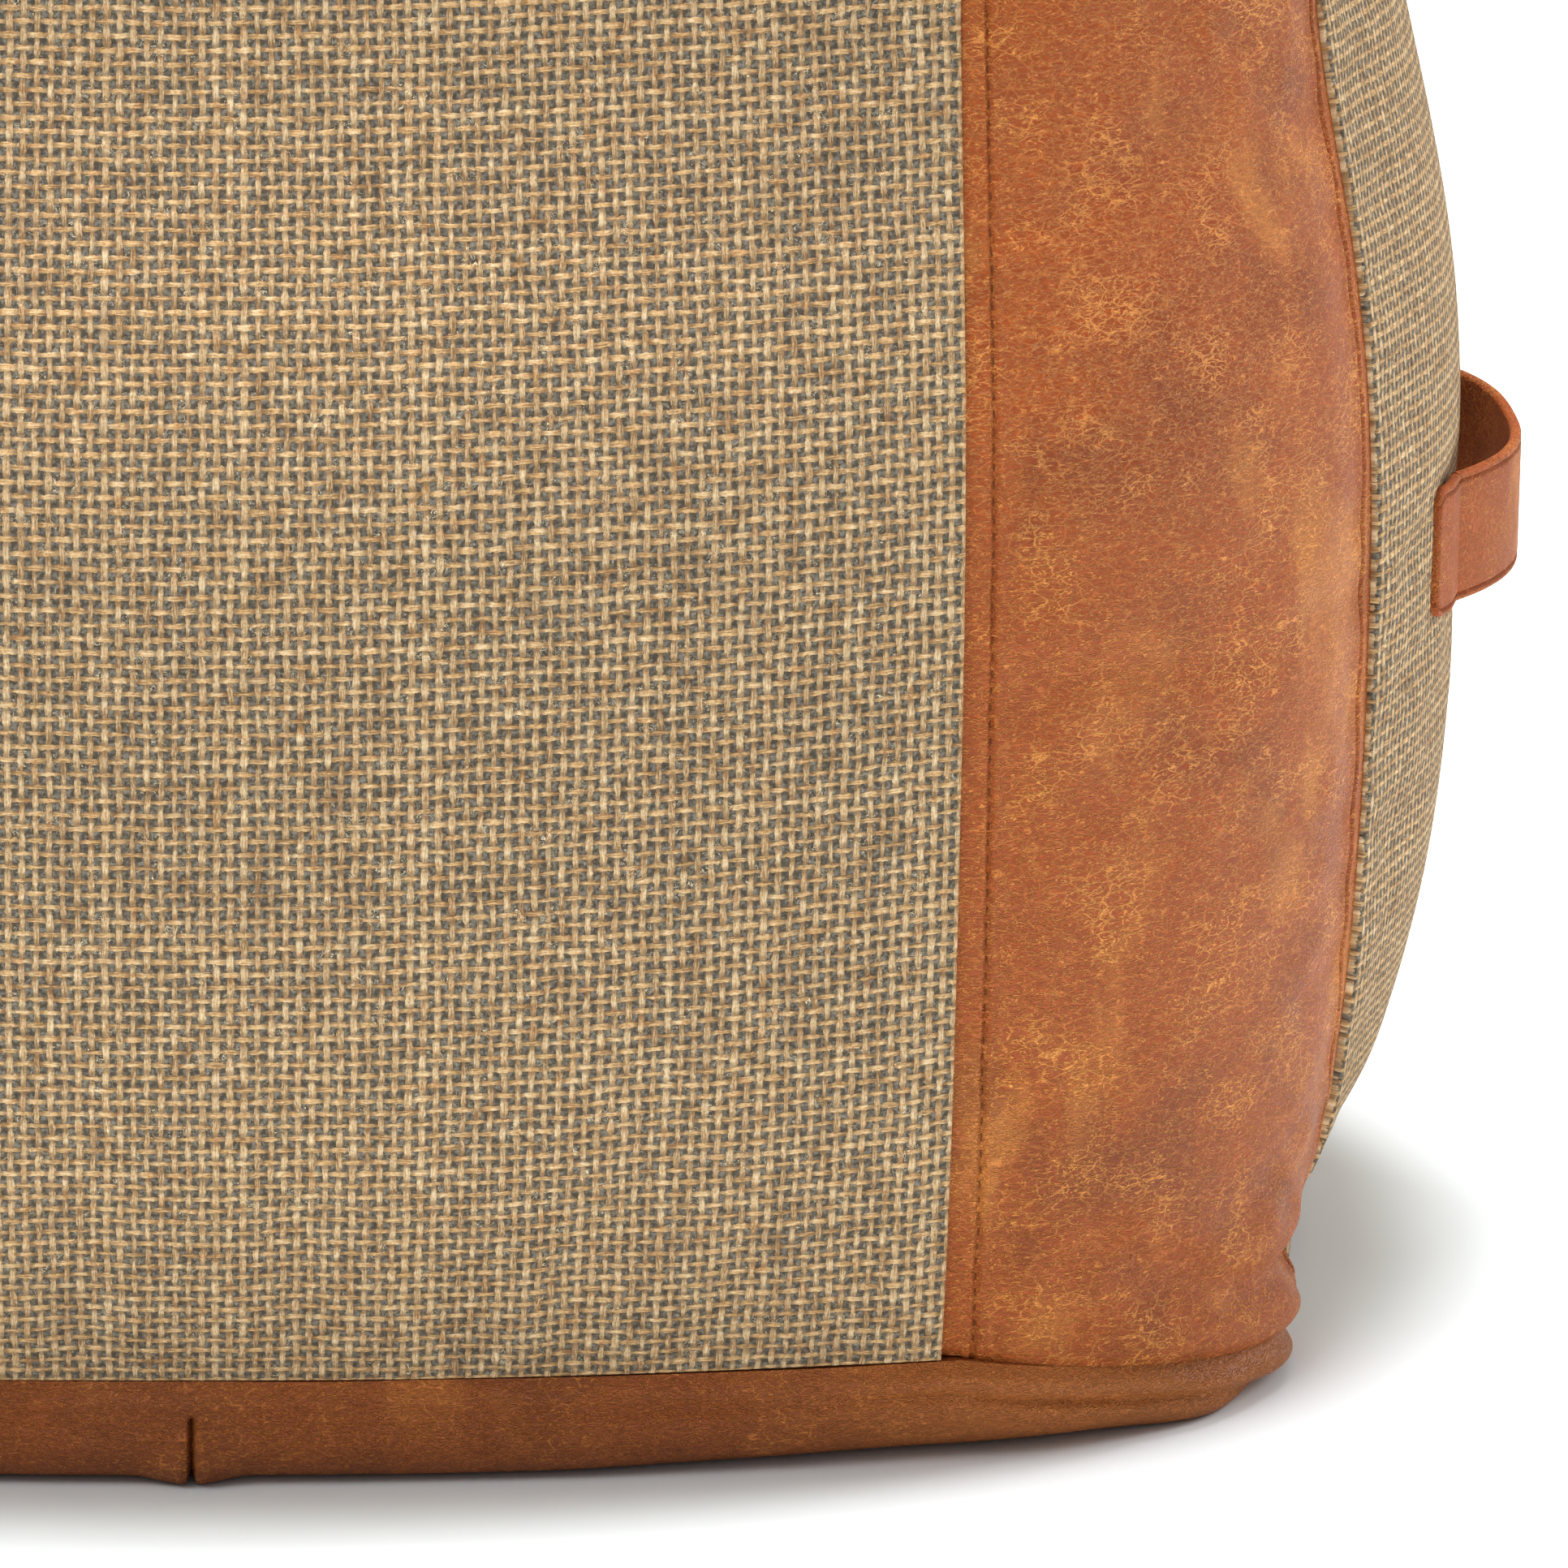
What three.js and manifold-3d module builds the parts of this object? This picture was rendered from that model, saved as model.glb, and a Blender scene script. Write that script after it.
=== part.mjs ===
// A padded storage bin: hessian wall panels between leather corner strips, a leather base band and
// rim, stiffened and lined walls, two leather strap handles and a lift-out padded base insert.
// Millimetres, +Z up. The origin is on the floor under the middle of the bin, X runs along the
// long side and the front faces -Y.

import * as THREE from 'three';
import { mergeVertices } from 'three/addons/utils/BufferGeometryUtils.js';
import Module from 'manifold-3d';

const wasm = await Module();
wasm.setup();

// ---- driving dimensions ----

const HEIGHT = 330;
const SEAM_Z = 20; // the wall panels end here, sewn to the base band
const BELLY_Z = 150; // the walls stand out furthest here
const GAP = 0.3; // between pieces that touch

// A plan is symmetric, and a quarter of it is three arcs: half a front panel, a corner strip and
// half a side panel. Each has its length, and the two turns are the tangent's angle from X at the
// two ends of the corner strip.
const BELLY_PLAN = { front: 138.5, corner: 104, side: 105, frontTurn: 17, sideTurn: 60.5 };
const SEAM_PLAN = { front: 136.6, corner: 107, side: 83, frontTurn: 9.2, sideTurn: 78.5 };
const RIM_PLAN = { front: 136, corner: 84, side: 94, frontTurn: 9, sideTurn: 64 };
const INNER_PLAN = { front: 128, corner: 72, side: 91.4, frontTurn: 8, sideTurn: 64 };

const LOWER_POWER = 2.95; // how late the wall turns in below the belly
const UPPER_POWER = 2.6; // how late it turns in above the belly
const UPPER_SETTLE = 5; // how soon it is upright again under the rim

const SKIN = 1.8; // hessian and leather
const LINING = 1;
const BOARD = 3;
const WADDING_INSET = 5; // leaves room for the handle backing behind the skin

const RIM_DROP_OUTSIDE = 38;
const RIM_DROP_INSIDE = 28;
const RIM_STAND_OFF = 0.8;

const BASE_ROLL = { outward: 15.5, height: 14, inset: 14 }; // the band's rounded lower edge
const BASE_TURN_UNDER = 26;
const UNDERSIDE_THICKNESS = SKIN;

const HANDLE = { z: 147, width: 25, thickness: 2.2, bendY: 50, tabEndY: 68, reach: 254.5, shape: 2.7 };
const BACKING = { overhang: 6, inset: 3.4, thickness: 0.8 };

const INSERT = { clearance: 8.2, board: 3, pad: 4, cover: 1 };
const PULL_TAB = { width: 24, length: 46, thickness: 1.6, edgeX: 184 };

// ---- plan and wall geometry ----

const { clamp, degToRad, lerp } = THREE.MathUtils;

// A point on a quarter plan: 0 is the middle of the front, 1 and 2 are the ends of the corner
// strip and 3 is the middle of the side.
function quarterPoint(plan, t) {
  const turns = [0, plan.frontTurn, plan.sideTurn, 90].map(degToRad);
  const lengths = [plan.front, plan.corner, plan.side];
  const point = { x: 0, y: 0, turn: 0 };
  for (let arc = 0; arc < lengths.length; arc++) {
    const radius = lengths[arc] / (turns[arc + 1] - turns[arc]);
    const end = lerp(turns[arc], turns[arc + 1], clamp(t - arc, 0, 1));
    point.x += radius * (Math.sin(end) - Math.sin(turns[arc]));
    point.y += radius * (Math.cos(turns[arc]) - Math.cos(end));
    point.turn = Math.max(point.turn, t > arc ? end : 0);
  }
  return point;
}

// A point of the whole plan and its outward normal. t runs anticlockwise from the middle of the
// front: the right side is 3, the back is 6 and the left side is 9.
function planPoint(plan, t) {
  const around = ((t % 12) + 12) % 12;
  const half = around > 6 ? 12 - around : around;
  const quarter = half > 3 ? 6 - half : half;
  const signX = around > 6 ? -1 : 1;
  const signY = half > 3 ? 1 : -1;
  const point = quarterPoint(plan, quarter);
  const depth = quarterPoint(plan, 3).y;
  return {
    x: signX * point.x,
    y: signY * (depth - point.y),
    nx: signX * Math.sin(point.turn),
    ny: signY * Math.cos(point.turn),
  };
}

function insetPoint(point, inset, z) {
  const size = Math.hypot(point.nx, point.ny);
  return [point.x - (inset * point.nx) / size, point.y - (inset * point.ny) / size, z];
}

const seamPoint = (t, z, inset) => insetPoint(planPoint(SEAM_PLAN, t), inset, z);
const innerPoint = (t, z, inset) => insetPoint(planPoint(INNER_PLAN, t), inset, z);

// The bellied outer wall: the belly's plan blends into the seam's plan below it and into the
// rim's plan above it.
function wallPoint(t, z, inset) {
  const below = (BELLY_Z - z) / (BELLY_Z - SEAM_Z);
  const above = (z - BELLY_Z) / (HEIGHT - BELLY_Z);
  const lower = Math.max(below, 0) ** LOWER_POWER;
  const upper = 1 - (1 - clamp(above, 0, 1) ** UPPER_POWER) ** UPPER_SETTLE;
  const share = below > 0 ? lower : upper;
  const belly = planPoint(BELLY_PLAN, t);
  const end = planPoint(below > 0 ? SEAM_PLAN : RIM_PLAN, t);
  const mixed = {};
  for (const key of Object.keys(belly)) {
    mixed[key] = lerp(belly[key], end[key], share);
  }
  return insetPoint(mixed, inset, z);
}

// ---- stops: where the grids have their lines ----

const FLAT_STEPS = 3; // for each half of a panel
const CORNER_STEPS = 4;
const TRIM = 0.002; // what a piece loses at each end, as a share of a panel's half
const WALL_ROWS = 7; // from the seam to the binding's lower edge
const ROW_CROWDING = 1.35; // rows stand closer together low down, where the wall turns fastest

// Every layer of the wall has its lines at the same places around, so their facets stay parallel.
function around(from, to) {
  const stops = [];
  for (let unit = Math.floor(from); unit < to; unit++) {
    const isCorner = (((unit % 3) + 3) % 3) === 1;
    const steps = isCorner ? CORNER_STEPS : FLAT_STEPS;
    for (let step = 0; step < steps; step++) {
      stops.push(unit + step / steps);
    }
  }
  const inside = stops.filter((stop) => stop > from && stop < to);
  return [from + TRIM, ...inside, to - TRIM];
}

const spread = (from, to, steps, power = 1) =>
  Array.from({ length: steps + 1 }, (_, step) => from + (to - from) * (step / steps) ** power);

// ---- solids ----

function closedGeometry(positions, index) {
  const geometry = new THREE.BufferGeometry();
  geometry.setAttribute('position', new THREE.Float32BufferAttribute(positions, 3));
  geometry.setIndex(index);
  return geometry;
}

// A closed sheet between two grids of points. across runs to the right and up runs upwards when
// the outer face is seen from outside.
function sheet(across, up, outer, inner) {
  const positions = [];
  for (const face of [outer, inner]) {
    for (const v of up) {
      for (const u of across) {
        positions.push(...face(u, v));
      }
    }
  }
  const width = across.length;
  const height = up.length;
  const index = [];
  const quad = (a, b, c, d) => index.push(a, b, c, a, c, d);
  const outerAt = (column, row) => row * width + column;
  const innerAt = (column, row) => (height + row) * width + column;
  for (let row = 0; row < height - 1; row++) {
    for (let column = 0; column < width - 1; column++) {
      const corners = [[column, row], [column + 1, row], [column + 1, row + 1], [column, row + 1]];
      quad(...corners.map((corner) => outerAt(...corner)));
      quad(...corners.reverse().map((corner) => innerAt(...corner)));
    }
    const right = width - 1;
    quad(outerAt(0, row), outerAt(0, row + 1), innerAt(0, row + 1), innerAt(0, row));
    quad(outerAt(right, row), innerAt(right, row), innerAt(right, row + 1), outerAt(right, row + 1));
  }
  const top = height - 1;
  for (let column = 0; column < width - 1; column++) {
    quad(outerAt(column, 0), innerAt(column, 0), innerAt(column + 1, 0), outerAt(column + 1, 0));
    quad(outerAt(column, top), outerAt(column + 1, top), innerAt(column + 1, top), innerAt(column, top));
  }
  return closedGeometry(positions, index);
}

// A flat slab with the outline of a plan.
function slab(point, inset, bottom, top) {
  const shape = new THREE.Shape();
  const stops = around(0, 12).slice(0, -1);
  shape.setFromPoints(stops.map((t) => new THREE.Vector2(...point(t, 0, inset).slice(0, 2))));
  const geometry = new THREE.ExtrudeGeometry(shape, { depth: top - bottom, bevelEnabled: false });
  geometry.translate(0, 0, bottom);
  return geometry;
}

function toManifold(geometry) {
  const bare = geometry.index ? geometry.clone().toNonIndexed() : geometry.clone();
  bare.deleteAttribute('normal');
  bare.deleteAttribute('uv');
  const merged = mergeVertices(bare, 1e-3);
  return new wasm.Manifold(new wasm.Mesh({
    numProp: 3,
    vertProperties: new Float32Array(merged.attributes.position.array),
    triVerts: new Uint32Array(merged.index.array),
  }));
}

function cut(geometry, tool) {
  const mesh = toManifold(geometry).subtract(toManifold(tool)).getMesh();
  return closedGeometry(Array.from(mesh.vertProperties), Array.from(mesh.triVerts));
}

// ---- assembly ----

const HESSIAN = { color: 0xa68f68, roughness: 0.95 };
const LEATHER = { color: 0xa8592f, roughness: 0.5 };
const WADDING = { color: 0xe8e6df, roughness: 1 };
const GREYBOARD = { color: 0x8d8578, roughness: 0.9 };
const COTTON = { color: 0xcdbfa3, roughness: 0.9 };
const WEBBING = { color: 0x7a4a2a, roughness: 0.8 };

const bin = new THREE.Group();

function add(name, geometry, look) {
  const material = new THREE.MeshStandardMaterial({ ...look, metalness: 0 });
  const mesh = new THREE.Mesh(geometry, material);
  mesh.name = name;
  bin.add(mesh);
  return mesh;
}

const PANELS = { front: [-1, 1], right: [2, 4], back: [5, 7], left: [8, 10] };
const CORNERS = { front_right: [1, 2], back_right: [4, 5], back_left: [7, 8], front_left: [10, 11] };
const HALVES = { right: [0, 6], left: [6, 12] };

const WALL_TOP = HEIGHT - SKIN - 2 * GAP;
const WALL_FOOT = SEAM_Z + GAP / 2;
const BINDING_FOOT = HEIGHT - RIM_DROP_OUTSIDE;

const wallRows = (foot) => [...spread(foot, BINDING_FOOT, WALL_ROWS, ROW_CROWDING), WALL_TOP];

function outerSkins() {
  const rows = wallRows(WALL_FOOT);
  const skin = (span) => sheet(
    around(...span), rows, (t, z) => wallPoint(t, z, 0), (t, z) => wallPoint(t, z, SKIN));
  for (const [side, span] of Object.entries(PANELS)) {
    add(`${side}_hessian_panel`, skin(span), HESSIAN);
  }
  for (const [corner, span] of Object.entries(CORNERS)) {
    add(`${corner}_leather_corner`, skin(span), LEATHER);
  }
}

// The wadding fills the wall from behind the skin to the boards.
function wadding() {
  const rows = wallRows(WALL_FOOT + GAP);
  const pad = (span) => sheet(
    around(...span), rows, (t, z) => wallPoint(t, z, WADDING_INSET), (t, z) => innerPoint(t, z, 0));
  for (const [side, span] of Object.entries(PANELS)) {
    add(`${side}_wadding`, pad(span), WADDING);
  }
  for (const [corner, span] of Object.entries(CORNERS)) {
    add(`${corner}_corner_wadding`, pad(span), WADDING);
  }
}

// The four boards and the lining's four wall pieces are bent to meet at the middle of each corner.
function innerWalls() {
  const liningInset = 2 * GAP + BOARD;
  const wall = ([from, to], bottom, inset, thickness) => sheet(
    around(from - 0.5, to + 0.5), [bottom, WALL_TOP],
    (t, z) => innerPoint(t, z, inset), (t, z) => innerPoint(t, z, inset + thickness));
  for (const [side, span] of Object.entries(PANELS)) {
    add(`${side}_wall_board`, wall(span, SEAM_Z - GAP, GAP, BOARD), GREYBOARD);
    add(`${side}_lining`, wall(span, SEAM_Z + 3 * GAP, liningInset, LINING), COTTON);
  }
}

// The band's section from its turned-under edge, round the roll and up to the seam. shrink moves
// it inwards by the leather's thickness.
function baseSection(shrink) {
  const { outward, height, inset } = BASE_ROLL;
  const roll = spread(Math.PI / 2, 0, 4).map((angle) => [
    inset - (outward - shrink) * Math.cos(angle),
    height - (height - shrink) * Math.sin(angle),
  ]);
  return [[BASE_TURN_UNDER, shrink], ...roll, [shrink + GAP, SEAM_Z - GAP / 2]];
}

// The binding's section from its outer edge, over the top of the wall and down inside.
function rimSection(shrink) {
  const round = 2;
  const outside = -RIM_STAND_OFF - SKIN + shrink;
  const inside = 3 * GAP + BOARD + LINING + SKIN - shrink;
  const top = HEIGHT - shrink;
  return [
    { point: wallPoint, inset: outside, z: BINDING_FOOT },
    { point: wallPoint, inset: outside, z: top - round },
    { point: wallPoint, inset: outside + round - shrink, z: top },
    { point: innerPoint, inset: inside - round + shrink, z: top },
    { point: innerPoint, inset: inside, z: top - round },
    { point: innerPoint, inset: inside, z: HEIGHT - RIM_DROP_INSIDE },
  ];
}

function leatherBands() {
  const baseOuter = baseSection(0);
  const baseInner = baseSection(SKIN);
  const rimOuter = rimSection(0);
  const rimInner = rimSection(SKIN);
  const alongBase = (section) => (t, row) => seamPoint(t, section[row][1], section[row][0]);
  const alongRim = (section) => (t, row) => section[row].point(t, section[row].z, section[row].inset);
  for (const [side, span] of Object.entries(HALVES)) {
    const stops = around(...span);
    const base = sheet(stops, [...baseOuter.keys()], alongBase(baseOuter), alongBase(baseInner));
    const rim = sheet(stops, [...rimOuter.keys()], alongRim(rimOuter), alongRim(rimInner));
    add(`${side}_base_band`, base, LEATHER);
    add(`${side}_rim_binding`, rim, LEATHER);
  }
}

const BASE_BOARD_TOP = SEAM_Z - GAP - 0.5;
const LINING_FLOOR_TOP = SEAM_Z + 0.5;

function base() {
  const boardBottom = BASE_BOARD_TOP - BOARD;
  const padBottom = UNDERSIDE_THICKNESS + GAP;
  const floorInset = 2 * GAP + BOARD;
  add('underside_panel', slab(seamPoint, BASE_TURN_UNDER + GAP, 0, UNDERSIDE_THICKNESS), LEATHER);
  add('base_wadding', slab(seamPoint, BASE_ROLL.inset + 2, padBottom, boardBottom - GAP), WADDING);
  add('base_board', slab(seamPoint, WADDING_INSET, boardBottom, BASE_BOARD_TOP), GREYBOARD);
  add('lining_floor', slab(innerPoint, floorInset, LINING_FLOOR_TOP - LINING, LINING_FLOOR_TOP), COTTON);
}

// ---- handles ----

const HANDLE_LOW = HANDLE.z - HANDLE.width / 2;
const HANDLE_HIGH = HANDLE.z + HANDLE.width / 2;
const TAB_STAND_OFF = 0.5;

// Where along the side panel, between its middle 3 and its edge 4, the wall reaches a given y.
function sideStop(y) {
  let low = 3;
  let high = 4;
  for (let step = 0; step < 30; step++) {
    const middle = (low + high) / 2;
    const tooFar = wallPoint(middle, HANDLE.z, 0)[1] > y;
    [low, high] = tooFar ? [low, middle] : [middle, high];
  }
  return low;
}

// The free part of the strap bows out between its two bends. Its inner face is a thickness in
// from the outer one, square to the curve.
function strapLoop() {
  const { bendY, reach, shape, thickness } = HANDLE;
  const endX = wallPoint(sideStop(bendY), HANDLE.z, -TAB_STAND_OFF - thickness)[0];
  const outline = (y) => endX + (reach - endX) * (1 - Math.abs(y / bendY) ** shape);
  const slope = (y) => -((reach - endX) * shape / bendY) * Math.sign(y) * Math.abs(y / bendY) ** (shape - 1);
  const inside = (y, z) => {
    const size = Math.hypot(1, slope(y));
    return [outline(y) - thickness / size, y + (thickness * slope(y)) / size, z];
  };
  return sheet(
    spread(-bendY, bendY, 14), [HANDLE_LOW, HANDLE_HIGH], (y, z) => [outline(y), y, z], inside);
}

function handle(side, middle) {
  const tabFrom = sideStop(HANDLE.bendY + 0.6) - 3;
  const tabTo = sideStop(HANDLE.tabEndY) - 3;
  const heights = [HANDLE_LOW, HANDLE_HIGH];
  const strap = add(`${side}_handle_strap`, strapLoop(), LEATHER);
  strap.rotation.z = side === 'left' ? Math.PI : 0;
  const tabs = { front: side === 'left' ? 1 : -1, back: side === 'left' ? -1 : 1 };
  for (const [end, sign] of Object.entries(tabs)) {
    const stops = [middle + sign * tabFrom, middle + sign * tabTo].sort((a, b) => a - b);
    const tab = sheet(
      spread(...stops, 2), heights,
      (t, z) => wallPoint(t, z, -TAB_STAND_OFF - HANDLE.thickness),
      (t, z) => wallPoint(t, z, -TAB_STAND_OFF));
    add(`${side}_handle_${end}_tab`, tab, LEATHER);
  }
  const backingReach = sideStop(HANDLE.tabEndY + BACKING.overhang) - 3;
  const backing = sheet(
    spread(middle - backingReach, middle + backingReach, 6),
    [HANDLE_LOW - BACKING.overhang, HANDLE_HIGH + BACKING.overhang],
    (t, z) => wallPoint(t, z, BACKING.inset),
    (t, z) => wallPoint(t, z, BACKING.inset + BACKING.thickness));
  add(`${side}_handle_backing`, backing, COTTON);
}

// ---- lift-out base insert ----

function insert() {
  const { clearance, board, pad, cover } = INSERT;
  const bottom = LINING_FLOOR_TOP + 2 * GAP;
  const boardTop = bottom + board;
  const padTop = boardTop + GAP + pad;
  const top = padTop + GAP + cover;
  const coreInset = clearance + cover + GAP;
  const shell = slab(innerPoint, clearance, bottom, top);
  const hollow = slab(innerPoint, clearance + cover, bottom - 1, top - cover);
  add('insert_cover', cut(shell, hollow), COTTON);
  add('insert_board', slab(innerPoint, coreInset, bottom, boardTop), GREYBOARD);
  add('insert_pad', slab(innerPoint, coreInset, boardTop + GAP, padTop), WADDING);
  add('insert_pull_tab', pullTab(top + GAP), WEBBING);
}

function pullTab(bottom) {
  const { width, length, thickness, edgeX } = PULL_TAB;
  const radius = width / 2;
  const shape = new THREE.Shape();
  shape.moveTo(edgeX, -radius);
  shape.lineTo(edgeX, radius);
  shape.lineTo(edgeX - length + radius, radius);
  shape.absarc(edgeX - length + radius, 0, radius, Math.PI / 2, (3 * Math.PI) / 2);
  const geometry = new THREE.ExtrudeGeometry(
    shape, { depth: thickness, bevelEnabled: false, curveSegments: 8 });
  geometry.translate(0, 0, bottom);
  return geometry;
}

outerSkins();
wadding();
innerWalls();
leatherBands();
base();
handle('right', 3);
handle('left', 9);
insert();

export default bin;
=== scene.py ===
"""A padded storage bin of hessian and leather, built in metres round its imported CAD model.

The wall is a belly whose plan blends into a seam plan below and a rim plan above. A place on it is
(t, z): t runs anticlockwise from the middle of the front, with the corner strips at 1 to 2, 4 to 5,
7 to 8 and 10 to 11, the right side's middle at 3, the back's at 6 and the left side's at 9.
"""

import math

import bpy
import numpy as np
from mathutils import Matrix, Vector


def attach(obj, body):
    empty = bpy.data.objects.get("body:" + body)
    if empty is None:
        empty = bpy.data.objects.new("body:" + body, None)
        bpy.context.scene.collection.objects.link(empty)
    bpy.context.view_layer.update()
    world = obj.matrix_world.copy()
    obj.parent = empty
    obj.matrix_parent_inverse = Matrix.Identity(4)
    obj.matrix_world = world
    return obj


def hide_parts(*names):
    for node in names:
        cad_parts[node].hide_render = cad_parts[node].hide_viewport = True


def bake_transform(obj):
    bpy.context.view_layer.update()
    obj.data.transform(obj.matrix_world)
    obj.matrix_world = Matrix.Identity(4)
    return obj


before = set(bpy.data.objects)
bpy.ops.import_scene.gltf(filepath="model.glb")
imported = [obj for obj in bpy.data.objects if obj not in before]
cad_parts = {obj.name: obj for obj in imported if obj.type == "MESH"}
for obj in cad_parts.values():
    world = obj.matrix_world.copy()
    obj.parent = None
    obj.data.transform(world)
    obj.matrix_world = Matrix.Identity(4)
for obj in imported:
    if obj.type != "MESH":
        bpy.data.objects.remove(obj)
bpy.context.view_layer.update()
scene = bpy.context.scene
MM = 0.001

# ---- camera, floor and light ----

CAMERA_PLACE = (0, -1.8187, 0.6067)
CAMERA_TILT = 14.08  # degrees below the horizon
CAMERA_LENS = 223.6  # millimetres, on a 36 mm sensor
CAMERA_SHIFT = (0.378, -0.210)  # the view shows the object's lower right part only
WORLD_STRENGTH = 0.32
KEY_POWER, SIDE_POWER, TOP_POWER = 42, 40, 180
FLOOR_COLOUR = (0.91, 0.965, 0.99)
FLOOR_REACH = 14
FLOOR_DROP = 0.5 * MM  # keeps the floor clear of the underside


def add_object(name, data):
    thing = bpy.data.objects.new(name, data)
    scene.collection.objects.link(thing)
    return thing


def make_camera():
    data = bpy.data.cameras.new("camera")
    data.sensor_width = 36
    data.lens = CAMERA_LENS
    data.shift_x, data.shift_y = CAMERA_SHIFT
    data.clip_start, data.clip_end = 0.05, 50
    scene.camera = add_object("camera", data)
    scene.camera.location = CAMERA_PLACE
    scene.camera.rotation_euler = (math.radians(90 - CAMERA_TILT), 0, 0)


def srgb(red, green, blue):
    """A colour as screens count it, 0 to 255, in linear light."""
    return tuple(
        c / 12.92 if c <= 0.04045 else ((c + 0.055) / 1.055) ** 2.4
        for c in (red / 255, green / 255, blue / 255))


def area_light(name, place, aim, size, power):
    data = bpy.data.lights.new(name, "AREA")
    data.shape = "RECTANGLE"
    data.size, data.size_y = size
    data.energy = power
    light = add_object(name, data)
    light.location = place
    light.rotation_euler = (Vector(aim) - Vector(place)).to_track_quat("-Z", "Y").to_euler()


def make_studio():
    scene.view_settings.view_transform = "Standard"
    scene.view_settings.look = "None"
    world = bpy.data.worlds.new("studio")
    world.use_nodes = True
    world.node_tree.nodes["Background"].inputs["Color"].default_value = (1, 1, 1, 1)
    world.node_tree.nodes["Background"].inputs["Strength"].default_value = WORLD_STRENGTH
    scene.world = world
    mesh = bpy.data.meshes.new("floor")
    ends = ((-1, -1), (1, -1), (1, 1), (-1, 1))
    mesh.from_pydata([(FLOOR_REACH * x, FLOOR_REACH * y, 0) for x, y in ends], [], [(0, 1, 2, 3)])
    material = bpy.data.materials.new("floor")
    material.use_nodes = True
    shader = material.node_tree.nodes["Principled BSDF"]
    shader.inputs["Base Color"].default_value = (*FLOOR_COLOUR, 1)
    shader.inputs["Roughness"].default_value = 0.9
    shader.inputs["Specular IOR Level"].default_value = 0.1
    mesh.materials.append(material)
    floor = add_object("floor", mesh)
    floor.location.z = -FLOOR_DROP
    area_light("key", (-1.7, -2.1, 3.2), (0, 0, 0.15), (2.2, 1.6), KEY_POWER)
    area_light("side", (2.8, 1.1, 1.5), (0.1, 0, 0.15), (1.4, 1.6), SIDE_POWER)
    area_light("top", (-0.15, 0.2, 3.0), (0, 0, 0.1), (1.5, 1.5), TOP_POWER)


# ---- the wall's plans, as in the CAD ----

HEIGHT = 0.330
SEAM_Z = 0.020
BELLY_Z = 0.150
LOWER_POWER = 2.95
UPPER_POWER = 2.6
UPPER_SETTLE = 5
SKIN = 1.8 * MM
BINDING_FOOT = 0.292
WALL_TOP = HEIGHT - SKIN - 0.6 * MM


def plan(front, corner, side, front_turn, side_turn):
    """A quarter plan: the lengths of its three arcs, and the tangent's turn where they meet."""
    return [front * MM, corner * MM, side * MM], np.radians([0, front_turn, side_turn, 90])


BELLY_PLAN = plan(138.5, 104, 105, 17, 60.5)
SEAM_PLAN = plan(136.6, 107, 83, 9.2, 78.5)
RIM_PLAN = plan(136, 84, 94, 9, 64)
INNER_PLAN = plan(128, 72, 91.4, 8, 64)
CORNER_WIDTH = BELLY_PLAN[0][1]


def smooth(low, high, value):
    share = np.clip((value - low) / (high - low), 0, 1)
    return share * share * (3 - 2 * share)


def hump(middle, half_width, value):
    """1 at the middle, falling smoothly to nothing a few half widths away."""
    return np.exp(-(((value - middle) / half_width) ** 2))


def fold_quarter(t):
    """Where t is on the first quarter, 0 to 3, and the signs of x and y there."""
    turned = np.mod(t, 12)
    half = np.where(turned > 6, 12 - turned, turned)
    return (np.where(half > 3, 6 - half, half),
            np.where(turned > 6, -1.0, 1.0), np.where(half > 3, 1.0, -1.0))


def plan_point(shape, t):
    """x, y and the outward normal of points of a plan."""
    lengths, turns = shape
    quarter, sign_x, sign_y = fold_quarter(t)

    def walk(place):
        x = y = turn = np.zeros_like(place)
        for i, length in enumerate(lengths):
            radius = length / (turns[i + 1] - turns[i])
            end = turns[i] + (turns[i + 1] - turns[i]) * np.clip(place - i, 0, 1)
            x = x + radius * (np.sin(end) - np.sin(turns[i]))
            y = y + radius * (np.cos(turns[i]) - np.cos(end))
            turn = np.where(place > i, end, turn)
        return x, y, turn

    x, y, turn = walk(quarter)
    depth = walk(np.array([3.0]))[1][0]
    return np.stack([sign_x * x, sign_y * (depth - y),
                     sign_x * np.sin(turn), sign_y * np.cos(turn)], -1)


def inset_points(points, inset, z):
    size = np.hypot(points[..., 2], points[..., 3])
    return np.stack([points[..., 0] - inset * points[..., 2] / size,
                     points[..., 1] - inset * points[..., 3] / size, z + 0 * size], -1)


def wall(t, z, inset=0.0):
    below = (BELLY_Z - z) / (BELLY_Z - SEAM_Z)
    above = np.clip((z - BELLY_Z) / (HEIGHT - BELLY_Z), 0, 1)
    lower = np.clip(below, 0, 1) ** LOWER_POWER
    upper = 1 - (1 - above ** UPPER_POWER) ** UPPER_SETTLE
    is_low = (below > 0)[..., None]
    share = np.where(below > 0, lower, upper)[..., None]
    end = np.where(is_low, plan_point(SEAM_PLAN, t), plan_point(RIM_PLAN, t))
    return inset_points(plan_point(BELLY_PLAN, t) * (1 - share) + end * share, inset, z)


def inner_wall(t, z, inset=0.0):
    return inset_points(plan_point(INNER_PLAN, t), inset, z)


SIDE_SEAM_Z = 0.006  # the seam over the base drops round the corners, and is low along the sides


def seam_height(t):
    quarter = fold_quarter(t)[0]
    drop = np.clip((quarter - 1.03) / 0.87, 0, 1)
    return SEAM_Z + (SIDE_SEAM_Z - SEAM_Z) * drop ** 0.9


# ---- noise, seeded and smooth ----

LATTICE = 64
lattice = np.random.default_rng(7).random((LATTICE, LATTICE, LATTICE))


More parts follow.
